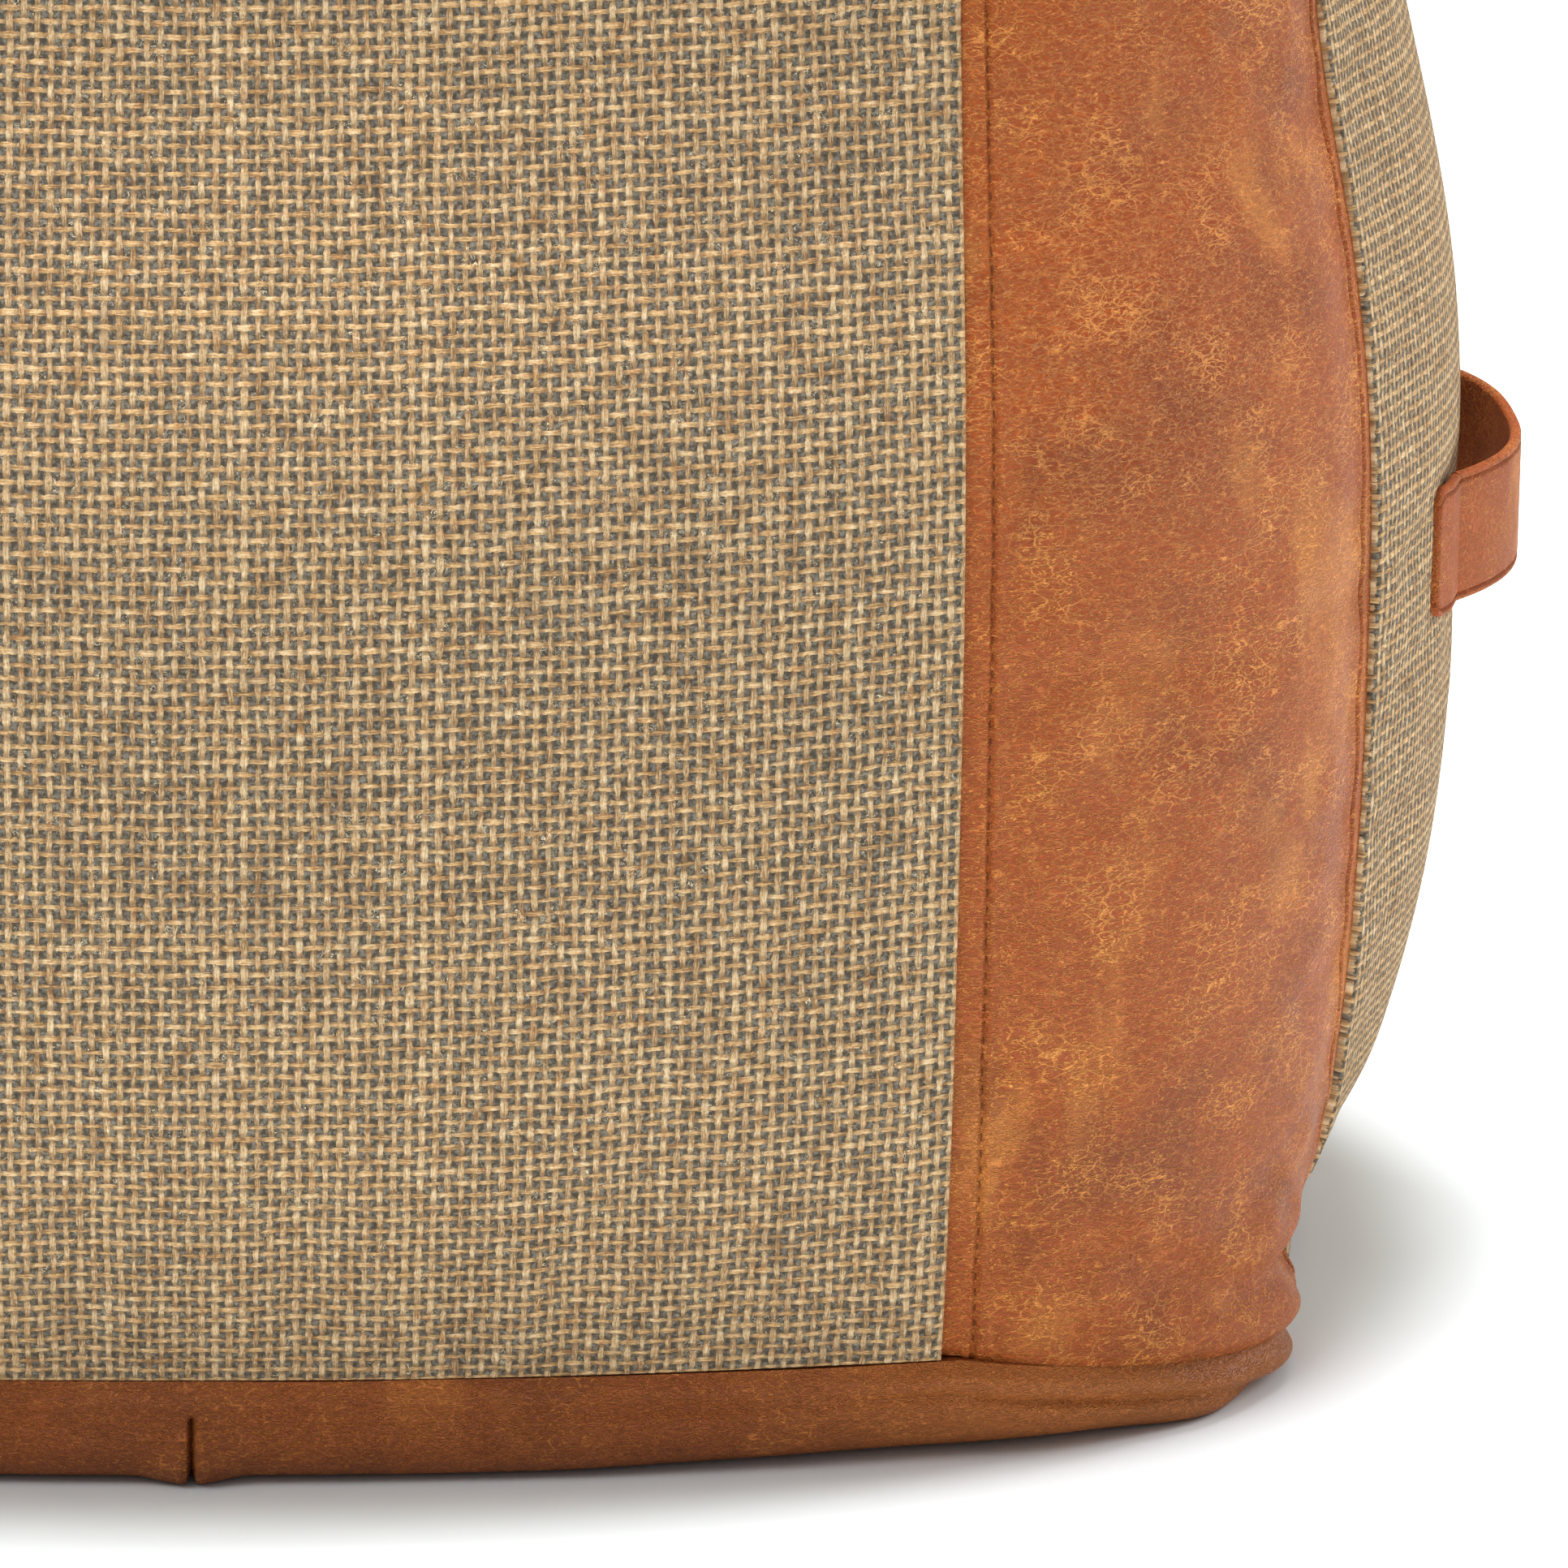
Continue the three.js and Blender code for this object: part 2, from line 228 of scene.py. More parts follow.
def noise(points, size):
    """Smooth noise from -1 to 1 at points, whose bumps are about size across."""
    place = points / size + 100
    cell = np.floor(place).astype(int)
    share = place - cell
    share = share * share * (3 - 2 * share)
    total = 0
    for corner in np.ndindex(2, 2, 2):
        weight = np.prod(np.where(corner, share, 1 - share), axis=-1)
        index = (cell + corner) % LATTICE
        total = total + weight * lattice[index[..., 0], index[..., 1], index[..., 2]]
    return total * 2 - 1


# ---- meshes ----


def steps(start, end, step, edge=0.0):
    """Even places from start to end about a step apart, crowded within edge of the two ends."""
    inside = np.linspace(start, end, max(2, int(abs(end - start) / step + 1.5)))
    if not edge:
        return inside
    crowd = edge * np.array([0.12, 0.3, 0.6, 1])
    sign = 1 if end > start else -1
    keep = inside[(abs(inside - start) > edge * 1.4) & (abs(inside - end) > edge * 1.4)]
    return np.concatenate([[start], start + sign * crowd, keep, end - sign * crowd[::-1], [end]])


def normals(grid):
    across = np.gradient(grid, axis=1)
    up = np.gradient(grid, axis=0)
    normal = np.cross(across, up)
    return normal / np.maximum(np.linalg.norm(normal, axis=-1, keepdims=True), 1e-12)


def unit(vectors):
    return vectors / np.linalg.norm(vectors, axis=-1, keepdims=True)


def grid_faces(index):
    """Four-sided faces between neighbouring rows and columns of point numbers."""
    corners = [index[:-1, :-1], index[:-1, 1:], index[1:, 1:], index[1:, :-1]]
    return np.stack(corners, -1).reshape(-1, 4)


def tube_faces(rows, columns):
    """Faces round rings of points, bottom to top, with one more face across each end."""
    index = np.arange(rows * columns).reshape(rows, columns)
    faces = grid_faces(np.concatenate([index, index[:, :1]], axis=1)).tolist()
    return faces + [index[0, ::-1].tolist(), index[-1].tolist()]


def sheet_mesh(name, outer, inner, cloth=None):
    """A closed sheet between two grids of points, rows upwards and columns to the right as seen
    from outside. cloth holds each place's position on the flat cloth."""
    index = np.arange(outer[..., 0].size).reshape(outer.shape[:2])
    back = index + index.size
    kept = index, np.stack([index[-1], back[-1]]), np.stack([index[:, 0], back[:, 0]])
    flipped = back, np.stack([index[0], back[0]]), np.stack([index[:, -1], back[:, -1]])
    faces = [grid_faces(part) for part in kept]
    faces += [grid_faces(part)[:, [0, 3, 2, 1]] for part in flipped]
    points = np.concatenate([outer.reshape(-1, 3), inner.reshape(-1, 3)])
    if cloth is not None:
        cloth = np.tile(cloth.reshape(-1, 2), (2, 1))
    return mesh_object(name, points, np.concatenate(faces), cloth)


def mesh_object(name, points, faces, cloth=None):
    mesh = bpy.data.meshes.new(name)
    mesh.from_pydata(points, [], faces)
    if cloth is not None:
        layer = mesh.uv_layers.new(name="cloth")
        corner_vertex = np.zeros(len(mesh.loops), np.int32)
        mesh.loops.foreach_get("vertex_index", corner_vertex)
        layer.data.foreach_set("uv", cloth[corner_vertex].astype(np.float32).ravel())
    mesh.shade_smooth()
    mesh.set_sharp_from_angle(angle=math.radians(50))
    return add_object(name, mesh)


def arc_length(grid, axis):
    """Distance walked along rows (axis 0) or columns (axis 1) of a grid of points."""
    pace = np.linalg.norm(np.diff(grid, axis=axis), axis=-1)
    start = np.zeros_like(np.take(pace, [0], axis=axis))
    return np.concatenate([start, np.cumsum(pace, axis=axis)], axis=axis)


def finish_piece(piece, material, nodes, body="bin"):
    piece.data.materials.append(material)
    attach(piece, body)
    if nodes:
        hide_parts(*nodes)
    return piece


def edge_round(distance, radius):
    """How far a rounded edge falls away at a distance from it."""
    gap = radius - np.clip(distance, 0, radius)
    return radius - np.sqrt(np.maximum(radius ** 2 - gap ** 2, 0))


# ---- node materials ----


def feed(tree, value, socket):
    """Gives a node's input a number, a vector, a colour or another node's output."""
    if isinstance(value, Number):
        value = value.socket
    if isinstance(value, bpy.types.NodeSocket):
        tree.links.new(value, socket)
    elif socket.type == "RGBA":
        socket.default_value = (*value, 1)
    else:
        socket.default_value = value


def add_node(tree, kind, inputs, **settings):
    """A new node of a kind, with its settings and its inputs by name or number."""
    node = tree.nodes.new("ShaderNode" + kind)
    for name, value in settings.items():
        setattr(node, name, value)
    for key, value in inputs.items():
        feed(tree, value, node.inputs[key])
    return node


class Number:
    """A number in a material's node tree, so that formulas read as formulas."""

    def __init__(self, tree, socket):
        self.tree, self.socket = tree, socket

    def math(self, operation, *others):
        inputs = dict(enumerate((self, *others)))
        return Number(self.tree, add_node(self.tree, "Math", inputs, operation=operation).outputs[0])

    def __add__(self, other):
        return self.math("ADD", other)

    def __sub__(self, other):
        return self.math("SUBTRACT", other)

    def __mul__(self, other):
        return self.math("MULTIPLY", other)

    def __truediv__(self, other):
        return self.math("DIVIDE", other)

    def ramp(self, low, high):
        """0 below low to 1 above high, smoothly; low may be the greater."""
        ends = {"From Min": low, "From Max": high, "To Min": 0, "To Max": 1}
        if high < low:
            ends = {"From Min": high, "From Max": low, "To Min": 1, "To Max": 0}
        node = add_node(self.tree, "MapRange", {"Value": self, **ends},
                        interpolation_type="SMOOTHSTEP")
        return Number(self.tree, node.outputs["Result"])


class Look:
    """A material being written: its shader, its coordinates and short ways to add nodes."""

    def __init__(self, name, roughness, specular=0.5, sheen=0.0, sheen_tint=(1, 1, 1)):
        self.material = bpy.data.materials.new(name)
        self.material.use_nodes = True
        self.tree = self.material.node_tree
        self.shader = self.tree.nodes["Principled BSDF"]
        self.set_shader({
            "Roughness": roughness, "Specular IOR Level": specular, "Sheen Weight": sheen,
            "Sheen Roughness": 0.5, "Sheen Tint": sheen_tint})

    def set_shader(self, inputs):
        for name, value in inputs.items():
            feed(self.tree, value, self.shader.inputs[name])

    def add(self, kind, inputs, **settings):
        return add_node(self.tree, kind, inputs, **settings)

    def object_place(self, scale):
        """Object coordinates in millimetres, times a scale for each axis."""
        place = self.add("TexCoord", {}).outputs["Object"]
        return self.scaled(place, [1000 * s for s in scale])

    def scaled(self, vector, scale):
        return self.add("VectorMath", {0: vector, 1: scale}, operation="MULTIPLY").outputs[0]

    def parts(self, vector):
        """The coordinates of a vector."""
        return [Number(self.tree, out) for out in self.add("SeparateXYZ", {0: vector}).outputs]

    def cloth_place(self, pitch):
        """Cloth coordinates counted in yarns: along the weft and along the warp."""
        place = self.add("UVMap", {}, uv_map="cloth").outputs[0]
        return self.parts(self.scaled(place, [1 / pitch] * 3))[:2]

    def vector(self, x, y, z=0.0):
        return self.add("CombineXYZ", {0: x, 1: y, 2: z}).outputs[0]

    def moved(self, vector, by, amount):
        """A vector shifted by a noise's colour times an amount."""
        inputs = {0: by, 1: (amount,) * 3, 2: vector}
        return self.add("VectorMath", inputs, operation="MULTIPLY_ADD").outputs[0]

    def noise_node(self, vector, scale, detail=2.0, roughness=0.5):
        return self.add("TexNoise", {
            "Vector": vector, "Scale": scale, "Detail": detail, "Roughness": roughness})

    def noise(self, vector, scale, detail=2.0, roughness=0.5):
        return Number(self.tree, self.noise_node(vector, scale, detail, roughness).outputs["Fac"])

    def cells(self, vector, scale):
        """Distance to the nearest cell border, in cells."""
        node = self.add("TexVoronoi", {"Vector": vector, "Scale": scale},
                        feature="DISTANCE_TO_EDGE")
        return Number(self.tree, node.outputs["Distance"])

    def random(self, number):
        """The same random number, 0 to 1, for equal numbers."""
        node = self.add("TexWhiteNoise", {"W": number}, noise_dimensions="1D")
        return Number(self.tree, node.outputs["Value"])

    def mix(self, share, first, second):
        """A colour share of the way from first to second; each is a colour or a socket."""
        node = self.add("Mix", {}, data_type="RGBA", clamp_factor=True)
        for value, socket in ((share, 0), (first, 6), (second, 7)):
            feed(self.tree, value, node.inputs[socket])
        return node.outputs[2]

    def layered(self, colour, *layers):
        """A colour with others laid over it in turn, each given as (share, colour)."""
        for share, other in layers:
            colour = self.mix(share, colour, other)
        return colour

    def finish(self, colour, height, depth, roughness=None):
        """Colour, a height from 0 to 1 for the bump, and the depth that it stands for."""
        bump = self.add("Bump", {"Distance": depth, "Height": height})
        self.set_shader({"Base Color": colour, "Normal": bump.outputs[0]})
        if roughness is not None:
            self.set_shader({"Roughness": roughness})
        return self.material


def woven_look(name, pitch, colours, yarns, wobble, depth, roughness, fibres, stains, hair=0.0,
               fuzziness=0.0):
    """Plain weave on the cloth coordinates. yarns are half the warp's and the weft's width as
    shares of the pitch, wobble is how many yarns the weave wanders, hair is how bright the stray
    hairs are and fuzziness is how ragged each yarn's edge is."""
    look = Look(name, roughness, specular=0.25, sheen=0.12, sheen_tint=colours["weft"])
    flat_u, flat_v = look.cloth_place(pitch)
    flat = look.vector(flat_u, flat_v)
    drift = look.noise_node(flat, 0.3, 2)
    u, v = look.parts(look.moved(flat, drift.outputs["Color"], wobble))[:2]
    column, row = u.math("FLOOR"), v.math("FLOOR")
    warp_random, weft_random = look.random(column + 0.37), look.random(row + 51.7)

    def strand(across, along, index, chance, other_index_sign, yarn):
        """One yarn's height and its share of cover, where it runs along the other coordinate."""
        swell = look.noise(look.vector(index * 7.31, along * 0.8), 1.0, 2)
        half = (chance * 0.3 + swell * 1.2 + 0.25) * yarn
        fuzz = look.noise(look.vector(across * 2.2 + index * 5.1, along * 3.1), 1.0, 2, 0.6)
        offset = (across - index) - 0.5 + (fuzz - 0.5) * fuzziness
        inside = offset / half
        dome = (inside * inside * -1 + 1).math("MAXIMUM", 0.0).math("SQRT")
        parity = index.math("PINGPONG", 1.0) * -2 + 1
        wave = ((along - 0.5) * math.pi).math("COSINE") * parity * other_index_sign
        return wave * 0.5 + dome, dome, wave

    warp, warp_cover, warp_wave = strand(u, v, column, warp_random, 1, yarns[0])
    weft, weft_cover, weft_wave = strand(v, u, row, weft_random, -1, yarns[1])
    warp_height = warp - (warp_cover.ramp(0.08, 0.0) * 3)
    weft_height = weft - (weft_cover.ramp(0.08, 0.0) * 3)
    top = warp_height.math("MAXIMUM", weft_height).math("MAXIMUM", -0.75)
    weft_on_top = (weft_height - warp_height).ramp(-0.06, 0.06)
    fibre_warp = look.noise(look.vector(u * 9, v * 1.1), 1.0, 3, 0.6)
    fibre_weft = look.noise(look.vector(u * 1.1, v * 9), 1.0, 3, 0.6)
    fibre = fibre_warp + (fibre_weft - fibre_warp) * weft_on_top
    chance = warp_random + (weft_random - warp_random) * weft_on_top
    local = look.noise(flat, 0.6, 2)
    tint = look.noise(look.vector(flat_u, flat_v, 7.0), 0.7, 3, 0.65)
    shade = fibre.ramp(0.3, 0.7) * 0.55 + chance * 0.1 + local.ramp(0.3, 0.7) * 0.35
    speck = look.noise(flat, 4.5, 2, 0.6)
    broad = look.noise(flat, 0.035, 4, 0.62)
    blots = look.noise(flat, 0.3, 3, 0.6)
    # wave is the top yarn's rise and fall; the colour is darkened with painted shade where the yarn
    # dives under the other
    wave = warp_wave + (weft_wave - warp_wave) * weft_on_top
    # painted shade: a dark line where the top yarn meets the yarn it crosses
    painted_crossing_shade = (weft_height - warp_height).math("ABSOLUTE").ramp(0.32, 0.0)
    # painted shade in the gaps between yarns and along their rounded edges, with some lighter fibres
    # in it
    painted_gap_shade = look.mix(look.noise(flat, 2.6, 2).ramp(0.4, 0.7), colours["gap"], colours["gap_light"])
    tangle = look.noise_node(flat, 0.9, 2)
    stray = look.noise(look.moved(flat, tangle.outputs["Color"], 3), 1.5, 1)
    hairs = (stray - 0.5).math("ABSOLUTE").ramp(0.014, 0.0) * look.noise(flat, 0.5, 1).ramp(0.4, 0.7)
    dark, light = colours["dark"], colours["light"]
    colour = look.layered(
        colours["warp"], (weft_on_top, colours["weft"]),
        (tint.ramp(0.5, 0.68) * 0.55, colours["tint"]),
        (speck.ramp(0.5, 0.3) * fibres, dark), (speck.ramp(0.52, 0.72) * fibres * 0.7, light),
        (shade.ramp(0.5, 0.1) * 0.85, dark), (shade.ramp(0.5, 0.9) * 0.6, light),
        ((broad * 0.4 + blots * 0.6).ramp(0.54, 0.66) * stains, colours["stain"]),
        (wave.ramp(0.75, -0.5) * 0.62, dark), (painted_crossing_shade * 0.55, colours["gap"]),
        (top.ramp(0.5, -0.45) * 0.92, painted_gap_shade), (hairs * hair, light))
    height = (top + 0.75) / 2.25 + (fibre - 0.5) * fibres
    return look.finish(colour, height, depth)


def leather_look(name, base, light, dark, grey, contrast, grain=(1, 1, 1), roughness=0.5,
                 painted_side_light=0.0):
    """Waxed leather: fine ripples, light where the wax has cracked along veins and rubbed off in
    patches, and darker where it has gathered. grain is bumps per millimetre along each axis.
    The last argument is how much painted light lightens the leather towards the sides, out from the
    middle of the bin."""
    look = Look(name, roughness, specular=0.22)
    place = look.object_place(grain)
    drift = look.noise_node(place, 0.3, 2)
    bent = look.moved(place, drift.outputs["Color"], 2.4)
    ripple = look.noise(bent, 1.0, 1, 0.5)
    crests = (ripple - 0.5).math("ABSOLUTE").ramp(0.055, 0.0)
    second = look.noise(look.scaled(bent, (1.4, 1.4, 1.0)), 0.8, 1, 0.5)
    folds = (second - 0.5).math("ABSOLUTE").ramp(0.04, 0.0)
    veins = look.cells(bent, 0.4).ramp(0.07, 0.0)
    fine = look.noise(place, 2.6, 2, 0.6)
    even = look.object_place((1, 1, 1))
    sway = look.noise_node(even, 0.03, 2)
    swayed = look.moved(even, sway.outputs["Color"], 26)
    clouds = look.noise(swayed, 0.022, 4, 0.62)
    rubbed = look.noise(look.scaled(swayed, (1.0, 1.0, 0.55)), 0.034, 3, 0.55)
    worn = rubbed.ramp(0.53, 0.72)
    creased = look.noise(even, 0.07, 2).ramp(0.46, 0.66)
    # painted light: the leather is lightened further out from the middle of the bin, towards the
    # sides
    painted_light_mask = look.parts(even)[0].math("ABSOLUTE").ramp(*PAINTED_LIGHT_RANGE)
    pits = (ripple - 0.5).math("ABSOLUTE").ramp(0.05, 0.16)
    creases = (creased * 0.35 + 0.42) * contrast
    colour = look.layered(
        base, (clouds.ramp(0.54, 0.34) * 0.5, dark), (clouds.ramp(0.52, 0.74) * 0.4, grey),
        (worn * 0.42, light), (painted_light_mask * painted_side_light, light), (pits * 0.36 * contrast, dark),
        (second.ramp(0.46, 0.28) * 0.24 * contrast, dark),
        (fine.ramp(0.5, 0.25) * 0.25 * contrast, grey), (crests * creases, light),
        (folds * creases, light), (veins * (creased * 0.5 + 0.2) * contrast, light))
    height = crests * 0.45 + folds * 0.3 + fine * 0.1 + veins * creased * 0.16
    gloss = fine * 0.16 + clouds * 0.3 + (roughness - 0.23)
    return look.finish(colour, height, 0.8 * MM, gloss)


HESSIAN_PITCH = 2.44 * MM
# In the woven looks, gap and gap_light are colours of painted shade seen through the gaps between
# yarns.
hessian_look = woven_look(
    "hessian", HESSIAN_PITCH,
    {"warp": srgb(210, 174, 128), "weft": srgb(218, 174, 118), "light": srgb(255, 234, 192),
     "dark": srgb(124, 92, 60), "gap": srgb(60, 57, 51), "gap_light": srgb(126, 122, 112),
     "stain": srgb(134, 94, 60), "tint": srgb(196, 134, 74)},
    yarns=(0.235, 0.195), wobble=0.4, depth=0.9 * MM, roughness=0.9, fibres=0.5, stains=0.5,
    hair=0.9, fuzziness=0.26)
canvas_look = woven_look(
    "cotton_canvas", 0.75 * MM,
    {"warp": srgb(194, 180, 150), "weft": srgb(188, 173, 142), "light": srgb(210, 198, 172),
     "dark": srgb(150, 134, 106), "gap": srgb(112, 98, 78), "gap_light": srgb(128, 113, 90),
     "stain": srgb(170, 153, 122), "tint": srgb(186, 169, 136)},
    yarns=(0.46, 0.46), wobble=0.3, depth=0.2 * MM, roughness=0.92, fibres=0.3, stains=0.3)
# The band leather is lightened with painted light between these distances
PAINTED_LIGHT_RANGE = (90, 165)  # millimetres out from the middle of the bin
SADDLE = {"base": srgb(176, 83, 32), "light": srgb(248, 164, 80), "dark": srgb(104, 44, 16),
          "grey": srgb(146, 80, 56)}
wall_leather = leather_look("leather_wall", **SADDLE, contrast=1.0, grain=(0.58, 0.58, 1.35))
# A darker copy of the wall leather: its colours are painted shade for the low band and the underside,
# with painted light added towards the sides.
band_leather = leather_look(
    "leather_band", srgb(152, 78, 34), srgb(210, 128, 60), srgb(90, 40, 18), srgb(118, 66, 42),
    contrast=1.0, grain=(0.6, 0.6, 1.5), roughness=0.46, painted_side_light=0.55)
strap_leather = leather_look(
    "leather_strap", **SADDLE, contrast=0.6, grain=(0.9, 0.9, 1.3), roughness=0.62)
thread_look = leather_look(
    "thread", srgb(146, 78, 40), srgb(190, 116, 64), srgb(84, 42, 22), srgb(110, 66, 44),
    contrast=0.3, grain=(3, 3, 3), roughness=0.7)


def fibre_look(name, base, light, dark, scale, depth, roughness):
    """A mat of fibres or pressed pulp."""
    look = Look(name, roughness, specular=0.2, sheen=0.1)
    place = look.object_place((1, 1, 1))
    drift = look.noise_node(place, scale * 0.3, 2)
    hairs = look.noise(look.moved(place, drift.outputs["Color"], 6), scale, 5, 0.7)
    specks = look.noise(place, scale * 2.5, 2)
    colour = look.layered(
        base, (hairs.ramp(0.4, 0.65), light), (specks.ramp(0.62, 0.75) * 0.6, dark))
    return look.finish(colour, hairs * 0.8 + specks * 0.2, depth)


wadding_look = fibre_look(
    "wadding", srgb(226, 224, 214), srgb(246, 245, 240), srgb(190, 186, 172), 0.6, 1.2 * MM, 0.95)
board_look = fibre_look(
    "greyboard", srgb(141, 133, 120), srgb(160, 152, 138), srgb(96, 90, 80), 1.4, 0.15 * MM, 0.9)
backing_look = fibre_look(
    "backing_cotton", srgb(188, 173, 142), srgb(206, 193, 166), srgb(150, 134, 106), 1.2,
    0.2 * MM, 0.92)
webbing_look = woven_look(
    "webbing", 1.3 * MM,
    {"warp": srgb(128, 80, 46), "weft": srgb(120, 74, 42), "light": srgb(158, 106, 66),
     "dark": srgb(80, 48, 28), "gap": srgb(52, 30, 18), "gap_light": srgb(64, 38, 22),
     "stain": srgb(104, 62, 36), "tint": srgb(124, 74, 42)},
    yarns=(0.47, 0.47), wobble=0.1, depth=0.3 * MM, roughness=0.8, fibres=0.25, stains=0.2)

# ---- outer skins ----

SIDES = {"front": 0, "right": 3, "back": 6, "left": 9}
CORNERS = {"front_right": 1, "back_right": 4, "back_left": 7, "front_left": 10}
HALVES = {"right": 0, "left": 6}  # where the two halves of the band and the binding start
UNIT_LENGTH = BELLY_PLAN[0]  # along the belly: half a front, a corner strip, half a side
JOIN_GAP = 0.002  # of t, from a join to the pieces on each side of it


def gap_to_ends(t, start):
    """Distance along the wall from the nearer end of a half."""
    return np.minimum(t - start, start + 6 - t) * UNIT_LENGTH[0]


def wall_grid(t_values, height_shares, top=WALL_TOP):
    """Points of the outer wall at height shares from 0 at the low seam to 1 at the top, and
    their t and z."""
    t, share = np.meshgrid(t_values, height_shares)
    low = seam_height(t)
    z = low + (top - low) * share
    return wall(t, z), t, z


HANDLE_Z, HANDLE_WIDTH, STRAP = 0.147, 25 * MM, 2.2 * MM
BEND_Y, TAB_END_Y = 50 * MM, 63.5 * MM  # from the middle of the side to the tab's two ends
LOOP_REACH, LOOP_SHAPE = 0.2545, 2.7
TAB_STAND_OFF = -0.2 * MM  # from the plain wall out to the tab's inner face


# ---- the padding presses the outer skins outwards between their seams ----

BILLOW_CELLS = 14  # columns of the cloth for each unit of t
BILLOW_ROWS = 42
BILLOW_TOP = 0.289
BILLOW_FRAMES = 20
BILLOW_PRESSURE = 4
TAB_HOLD_Y, TAB_HOLD_Z = 14 * MM, 15 * MM  # the cloth is held this far round a tab's middle
BILLOW_MOST, BILLOW_EASE = 1.8 * MM, 4 * MM  # movement levels off towards the most


def billow():
    """A cloth simulation, held at the seams, with pressure inside and no gravity."""
    grid, t, z = wall_grid(np.arange(12 * BILLOW_CELLS) / BILLOW_CELLS,
                           np.linspace(0, 1, BILLOW_ROWS), BILLOW_TOP)
    piece = mesh_object("billow", grid.reshape(-1, 3), tube_faces(*t.shape))
    held = np.zeros(t.shape, bool)
    held[0] = held[-1] = True
    held |= (np.mod(t, 1) == 0) & (np.mod(t, 3) != 0)
    x, y = np.abs(grid[..., 0]), np.abs(grid[..., 1])
    held |= ((np.abs(y - (BEND_Y + TAB_END_Y) / 2) < TAB_HOLD_Y)
             & (np.abs(z - HANDLE_Z) < TAB_HOLD_Z) & (x > 0.2))
    pins = piece.vertex_groups.new(name="pins")
    pins.add(np.flatnonzero(held.ravel()).tolist(), 1.0, "REPLACE")
    cloth = piece.modifiers.new("cloth", "CLOTH")
    settings = cloth.settings
    settings.vertex_group_mass = "pins"
    settings.quality = 6
    settings.mass = 0.4
    settings.tension_stiffness = settings.compression_stiffness = 40
    settings.shear_stiffness = 20
    settings.bending_stiffness = 0.8
    settings.tension_damping = settings.compression_damping = 15
    settings.use_pressure = True
    settings.uniform_pressure_force = BILLOW_PRESSURE
    settings.effector_weights.gravity = 0
    settings.shrink_min = -0.012
    cloth.point_cache.frame_start, cloth.point_cache.frame_end = 1, BILLOW_FRAMES
    for number in range(1, BILLOW_FRAMES + 1):
        scene.frame_set(number)
    settled = piece.evaluated_get(bpy.context.evaluated_depsgraph_get())
    points = np.zeros(grid.size)
    settled.data.vertices.foreach_get("co", points)
    scene.frame_set(1)
    bpy.data.objects.remove(piece)
    wrapped = np.concatenate([grid[:, -1:], grid, grid[:, :1]], axis=1)
    moved = ((points.reshape(grid.shape) - grid) * normals(wrapped)[:, 1:-1]).sum(-1)
    return BILLOW_MOST * np.tanh(moved / BILLOW_EASE)


def spline_weights(s):
    """The weights of the four points round a place that is s of the way from second to third."""
    return (((2 - s) * s - 1) * s / 2, (s * s * (3 * s - 5) + 2) / 2,
            ((4 - 3 * s) * s + 1) * s / 2, (s - 1) * s * s / 2)


def billowed(t, z):
    """How far the simulated cloth stands out at places of the wall."""
    low = seam_height(t)
    row = np.clip((z - low) / (BILLOW_TOP - low), 0, 1) * (BILLOW_ROWS - 1)
    column = np.mod(t, 12) * BILLOW_CELLS
    r, c = np.minimum(row.astype(int), BILLOW_ROWS - 2), column.astype(int)
    total = 0
    for i, up in enumerate(spline_weights(row - r)):
        for j, right in enumerate(spline_weights(column - c)):
            place = np.clip(r + i - 1, 0, BILLOW_ROWS - 1), (c + j - 1) % (12 * BILLOW_CELLS)
            total = total + up * right * BILLOW[place]
    return total


BILLOW = billow()

# The skin draws in no further than this where the base board's edge is behind it.
LEATHER_ROOM, HESSIAN_ROOM = 2.4 * MM, 4.2 * MM


def beside_board(z):
    """1 at the height of the base board, 0 above and below it."""
    return smooth(24 * MM, 20 * MM, z) * smooth(12 * MM, 15.5 * MM, z)


def side_tuck(t, z):
    """How far the sides draw in over their low seam."""
    quarter = fold_quarter(t)[0]
    low = smooth(1.72, 2.12, quarter) * smooth(52 * MM, 16 * MM, z)
    low = low * (1 - 0.7 * smooth(2.3, 2.8, quarter))
    broad = smooth(2.0, 2.2, quarter) * smooth(285 * MM, 240 * MM, z)
    tuck = -5.5 * MM * low - 1.4 * MM * broad
    most = LEATHER_ROOM + (HESSIAN_ROOM - LEATHER_ROOM) * smooth(1.96, 2.0, quarter)
    room = beside_board(z) * smooth(1.85, 1.97, quarter)
    return tuck + (np.maximum(tuck, -most) - tuck) * room


def puff(t, z):
    """How far the skin stands out from the plain wall: the corners swell and fold at their foot."""
    quarter = fold_quarter(t)[0]
    rise = z - seam_height(t)
    corner = smooth(1.2, 1.55, quarter) * smooth(2.15, 1.85, quarter)
    swell = 3.4 * MM * hump(6 * MM, 5 * MM, rise) * corner
    notch = -1.4 * MM * hump(14.5 * MM, 3.6 * MM, rise) * corner
    crown = 1.0 * MM * hump(26 * MM, 8 * MM, rise) * corner
    return side_tuck(t, z) + swell + notch + crown + billowed(t, z)


HESSIAN_THICK = 1.5 * MM
EDGE_BACK = 0.5 * MM  # from the end of t's unit to the hessian's cut edge, which lies on leather


